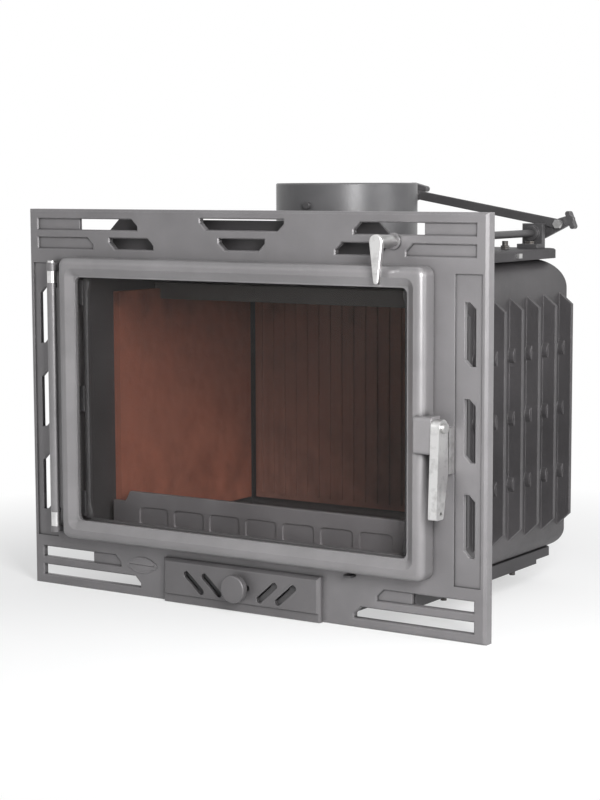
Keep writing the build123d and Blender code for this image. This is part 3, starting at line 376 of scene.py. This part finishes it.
# %% Rope and tape
def glass_rope():
    f = Finish("glass_rope")
    twist = f.add("ShaderNodeTexWave", {"bands_direction": "DIAGONAL"},
                  {"Vector": f.place(), "Scale": 90.0, "Distortion": 1.5, "Detail": 2.0}, output="Fac")
    fuzz = f.noise(0.0012, 4.0, 0.7)
    colour = f.blend((0.035, 0.034, 0.034), (0.11, 0.105, 0.10), twist * 0.7 + fuzz * 0.3)
    return f.surface(colour, 0.92, 0.0, f.relief(twist, 0.0012, 0.8))


wear(["door_rope", "glass_seal"], glass_rope())

# %% [markdown]
# A few small pieces are only seen from close by, and are modelled here by hand. Each starts from a
# primitive at its own size and place, is shaped in edit mode, and then has its place moved into its
# mesh, so that its pattern and its joints work as they do for a frame piece.

# %% Helpers for small pieces
def begin(adder, **sizes):
    """Adds one primitive with nothing else selected, and leaves it in edit mode."""
    if bpy.context.mode != "OBJECT":
        bpy.ops.object.mode_set(mode="OBJECT")
    bpy.ops.object.select_all(action="DESELECT")
    adder(**sizes)
    bpy.ops.object.mode_set(mode="EDIT")
    return bpy.context.active_object


def choose(piece, wanted, kind="FACE"):
    """Selects by place alone: a face by its middle and normal, an edge by its ends, or a point."""
    bpy.ops.object.mode_set(mode="OBJECT")
    mesh = piece.data
    for part in (*mesh.vertices, *mesh.edges, *mesh.polygons):
        part.select = False
    spots = [piece.matrix_world @ point.co for point in mesh.vertices]
    if kind == "FACE":
        for face in mesh.polygons:
            face.select = wanted(piece.matrix_world @ face.center, face.normal)
    elif kind == "EDGE":
        for edge in mesh.edges:
            edge.select = wanted(*(spots[i] for i in edge.vertices))
    else:
        for point, spot in zip(mesh.vertices, spots):
            point.select = wanted(spot)
    bpy.ops.object.mode_set(mode="EDIT")
    bpy.ops.mesh.select_mode(type=kind)


def complete(piece, name, body, material, smooth=35):
    """Turns the faces out, moves the place into the mesh, and gives finish and body."""
    bpy.ops.mesh.select_all(action="SELECT")
    bpy.ops.mesh.normals_make_consistent(inside=False)
    bpy.ops.object.mode_set(mode="OBJECT")
    bpy.ops.object.select_all(action="DESELECT")
    piece.select_set(True)
    bpy.context.view_layer.objects.active = piece
    bpy.ops.object.transform_apply(location=True, rotation=True, scale=True)
    bpy.ops.object.shade_smooth_by_angle(angle=radians(smooth))
    piece.name = name
    piece.data.materials.clear()
    piece.data.materials.append(material)
    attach(piece, body)
    print(name, "mm:", [round(1000 * side, 1) for side in piece.dimensions])


# %% [markdown]
# Low on the plate, at its left, is a cast oval a few centimetres long with a raised rim. It is
# left blank here. A disc is stretched to an oval, its two ends are drawn out into short tabs, and
# then extrude and inset make the rim, the hollow inside it, and a low crown in the middle.

# %% Blank oval
plate_front = -0.182
oval_middle = Vector((-0.1632, plate_front, 0.0427))
oval_half = Vector((0.0215, 0.0, 0.0108))
tab_share = 0.90
tab_stretch = 1.14
rim_height, rim_width = 0.0014, 0.0016
hollow_depth = 0.0008
crown_inset, crown_height = 0.0030, 0.0005
oval = begin(bpy.ops.mesh.primitive_circle_add, vertices=64, radius=1.0, fill_type="NGON",
             location=oval_middle, rotation=(pi / 2, 0, 0))
bpy.ops.transform.resize(value=(oval_half.x, 1.0, oval_half.z))
choose(oval, lambda spot: abs(spot.x - oval_middle.x) > tab_share * oval_half.x, "VERT")
bpy.ops.transform.resize(value=(tab_stretch, 1.0, 1.0), center_override=oval_middle)
choose(oval, lambda middle, normal: True)
bpy.ops.mesh.extrude_region_move(TRANSFORM_OT_translate={"value": (0, -rim_height, 0)})
bpy.ops.mesh.inset(thickness=rim_width)
bpy.ops.transform.translate(value=(0, hollow_depth, 0))
bpy.ops.mesh.inset(thickness=crown_inset)
bpy.ops.transform.translate(value=(0, -crown_height, 0))
complete(oval, "blank_oval", "insert", plate_paint)

# %% [markdown]
# Fire cement seals the collar's foot. A ring is laid round the collar and its surface is pushed
# about a little, as a finger leaves it.

# %% Cement bead
collar_y = 0.069
flange_top = 0.465
collar_radius = 0.096
bead_radius = 0.0026
bead_stand_off = 0.0008
bead = begin(bpy.ops.mesh.primitive_torus_add, major_segments=120, minor_segments=12,
             major_radius=collar_radius + bead_stand_off, minor_radius=bead_radius,
             location=(0, collar_y, flange_top))
bpy.ops.transform.vertex_random(offset=0.0005, uniform=0.4, seed=4)
bpy.ops.mesh.vertices_smooth(factor=0.5, repeat=2)


def fire_cement():
    f = Finish("fire_cement")
    grit = f.noise(0.0015, 5.0, 0.7)
    smear = f.noise(0.02, 3.0)
    mixed = f.span(smear * 0.6 + grit * 0.4, 0.4, 0.6)
    colour = f.blend((0.050, 0.047, 0.045), (0.115, 0.108, 0.100), mixed)
    return f.surface(colour, 0.85 + (grit - 0.5) * 0.2, 0.0, f.relief(grit, 0.0006, 0.6))


complete(bead, "collar_cement", "insert", fire_cement(), 60)

# %% [markdown]
# A washer lies under each nut of the collar. One is modelled and three copies of it are made,
# each with a mesh of its own.

# %% Washers
bolt_circle = 0.107
bolt_reach = bolt_circle * cos(pi / 4)
washer_radius, washer_height = 0.0098, 0.0015
washer_edge, washer_crown = 0.0007, 0.0003
bolt_spots = [Vector((side * bolt_reach, collar_y + way * bolt_reach, flange_top))
              for side, way in ((1, 1), (-1, 1), (-1, -1), (1, -1))]
washer = begin(bpy.ops.mesh.primitive_circle_add, vertices=48, radius=washer_radius, fill_type="NGON",
               location=bolt_spots[0])
bpy.ops.mesh.extrude_region_move(TRANSFORM_OT_translate={"value": (0, 0, washer_height)})
bpy.ops.mesh.inset(thickness=washer_edge)
bpy.ops.transform.translate(value=(0, 0, washer_crown))
complete(washer, "collar_washer_1", "insert", fixing_black)
for number, spot in enumerate(bolt_spots[1:], start=2):
    twin = washer.copy()
    twin.data = washer.data.copy()
    twin.data.transform(Matrix.Translation(spot - bolt_spots[0]))
    twin.name = f"collar_washer_{number}"
    bpy.context.collection.objects.link(twin)
    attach(twin, "insert")
print("washers:", len(bolt_spots))

# %% [markdown]
# Behind the glass, down each side, a pressed strip holds the sealing tape against the pane. Its
# ends flare where the clips grip it. A bar has its corners rounded, and then each end face is
# extruded four times, with the rise and the widening that `flare` lists.

# %% Glass strips
pane_low, pane_high = (Vector(corner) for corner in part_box("door_glass"))
strip_margin = 0.030
strip_x = 0.2475
strip_y = pane_high.y + 0.0042
strip_low = pane_low.z + strip_margin
strip_high = pane_high.z - strip_margin
strip_width, strip_depth = 0.008, 0.0068
strip_corner = 0.0024
flare = ((0.006, 1.0), (0.008, 1.7), (0.006, 1.0), (0.004, 0.6))
for name, side in (("glass_strip_left", -1), ("glass_strip_right", 1)):
    middle = Vector((side * strip_x, strip_y, (strip_low + strip_high) / 2))
    strip = begin(bpy.ops.mesh.primitive_cube_add, size=1.0, location=middle)
    bpy.ops.transform.resize(value=(strip_width, strip_depth, strip_high - strip_low))
    choose(strip, lambda a, b: abs(a.z - b.z) > 0.1, "EDGE")
    bpy.ops.mesh.bevel(offset=strip_corner, segments=3)
    for way in (-1, 1):
        for rise, widen in flare:
            choose(strip, lambda spot, normal: normal.z * way > 0.9)
            bpy.ops.mesh.extrude_region_move(TRANSFORM_OT_translate={"value": (0, 0, way * rise)})
            bpy.ops.transform.resize(value=(widen, 1.0, 1.0))
    complete(strip, name, "door", dark_linkage, 40)

# %% [markdown]
# Behind the plate's upper slots stands a low dark strip, shaped as a cast flange, which is put there
# as painted shade so that those slots look dark. A bar is widened at its foot so that its ends
# slope, and its front is given a raised border by an inset.

# %% Slot shade sheet
screen_low, screen_high = 0.457, 0.499
screen_length, screen_thickness = 0.400, 0.004
screen_foot = 1.22
border_width, border_depth = 0.004, 0.0012
screen_edge = 0.0008
screen_middle = Vector((-0.010, -0.1605, (screen_low + screen_high) / 2))
shade_sheet = begin(bpy.ops.mesh.primitive_cube_add, size=1.0, location=screen_middle)
bpy.ops.transform.resize(value=(screen_length, screen_thickness, screen_high - screen_low))
choose(shade_sheet, lambda spot: spot.z < screen_middle.z, "VERT")
bpy.ops.transform.resize(value=(screen_foot, 1.0, 1.0), center_override=screen_middle)
choose(shade_sheet, lambda spot, normal: normal.y < -0.9)
bpy.ops.mesh.inset(thickness=border_width)
bpy.ops.transform.translate(value=(0, border_depth, 0))
choose(shade_sheet, lambda a, b: abs(a.x - b.x) > 0.39 and min(a.z, b.z) > screen_middle.z + 0.02, "EDGE")
bpy.ops.mesh.bevel(offset=screen_edge, segments=2)
complete(shade_sheet, "slot_shade_sheet", "insert", shell_paint)

# %% [markdown]
# The floor and the world are nearly white. The camera, glossy rays and rays through glass see
# plain white there, while the light that falls on the iron stays at a moderate level, and the
# floor keeps enough of its own shading to hold the insert's soft shadow.

# %% Floor
floor_reach = 6.0
shadow_share = 0.45
shadow_full, shadow_gone = 0.45, 0.95
bpy.ops.object.select_all(action="DESELECT")
bpy.ops.mesh.primitive_plane_add(size=2 * floor_reach, location=(0, 0, 0))
floor = bpy.context.active_object
floor.name = "floor"
f = Finish("floor_white")
matt = f.add("ShaderNodeBsdfDiffuse", sockets={"Color": (0.86, 0.86, 0.86, 1)})
glow = f.add("ShaderNodeEmission", sockets={"Color": (1, 1, 1, 1), "Strength": 1.0})
reach = f.add("ShaderNodeVectorMath", {"operation": "LENGTH"}, {0: f.place()}, output="Value")
near = 1 - f.span(reach, shadow_full, shadow_gone)
white_share = f.background_rays() * (1 - near * shadow_share)
f.finished(f.add("ShaderNodeMixShader", sockets={0: white_share, 1: matt, 2: glow}))
floor.data.materials.append(f.material)
print("floor, metres across:", 2 * floor_reach)

# %% World
world = bpy.data.worlds.new("studio")
bpy.context.scene.world = world
ambient_level = 0.25
w = Finish("studio", world)
sky = w.add("ShaderNodeBackground", sockets={"Color": (0.95, 0.97, 1.0, 1), "Strength": ambient_level})
white = w.add("ShaderNodeBackground", sockets={"Color": (1, 1, 1, 1), "Strength": 1.0})
w.finished(w.add("ShaderNodeMixShader", sockets={0: w.background_rays(), 1: sky, 2: white}),
           "ShaderNodeOutputWorld")
print("ambient level:", ambient_level)

# %% [markdown]
# Four large soft lamps light the iron plainly. The nearest stands to the front right, so that the
# plate is brightest at its right side and the rounded door rail carries a highlight. Each lamp is
# turned by the direction from its own place to the point that it is aimed at.

# %% Lamps
def soft_lamp(name, place, aim, size, power):
    bpy.ops.object.light_add(type="AREA", location=place)
    lamp = bpy.context.active_object
    lamp.name = name
    lamp.data.shape = "RECTANGLE"
    lamp.data.size, lamp.data.size_y = size
    lamp.data.energy = power
    lamp.rotation_euler = (Vector(aim) - Vector(place)).to_track_quat("-Z", "Y").to_euler()


soft_lamp("front_right_lamp", (1.15, -1.10, 0.80), (0.2, -0.2, 0.3), (0.5, 0.8), 34)
soft_lamp("front_left_lamp", (-1.6, -2.6, 1.9), (0, 0, 0.25), (1.8, 1.4), 5)
soft_lamp("right_lamp", (2.4, 0.3, 0.9), (0.3, 0.1, 0.25), (1.0, 1.2), 20)
soft_lamp("top_lamp", (0.1, 0.3, 2.6), (0, 0, 0.3), (2.2, 1.4), 12)

# %% [markdown]
# The camera stands to the right of the plate, a little above it, and looks slightly down. Its place,
# lens and turns were worked out from the plate's four corners. In this order of turns, the middle one
# is the camera's roll, because the first has already laid it level.

# %% Camera
camera_place = (1.4187, -2.198, 0.5542)
camera_turn = radians(33.40)
camera_dip = radians(6.52)
camera_roll = radians(0.20)
camera_lens = 88.05
bpy.ops.object.camera_add(location=camera_place)
camera = bpy.context.active_object
camera.rotation_euler = (pi / 2 - camera_dip, camera_roll, camera_turn)
camera.data.sensor_fit = "AUTO"
camera.data.sensor_width = 36
camera.data.lens = camera_lens
bpy.context.scene.camera = camera
bpy.context.scene.view_settings.view_transform = "Standard"
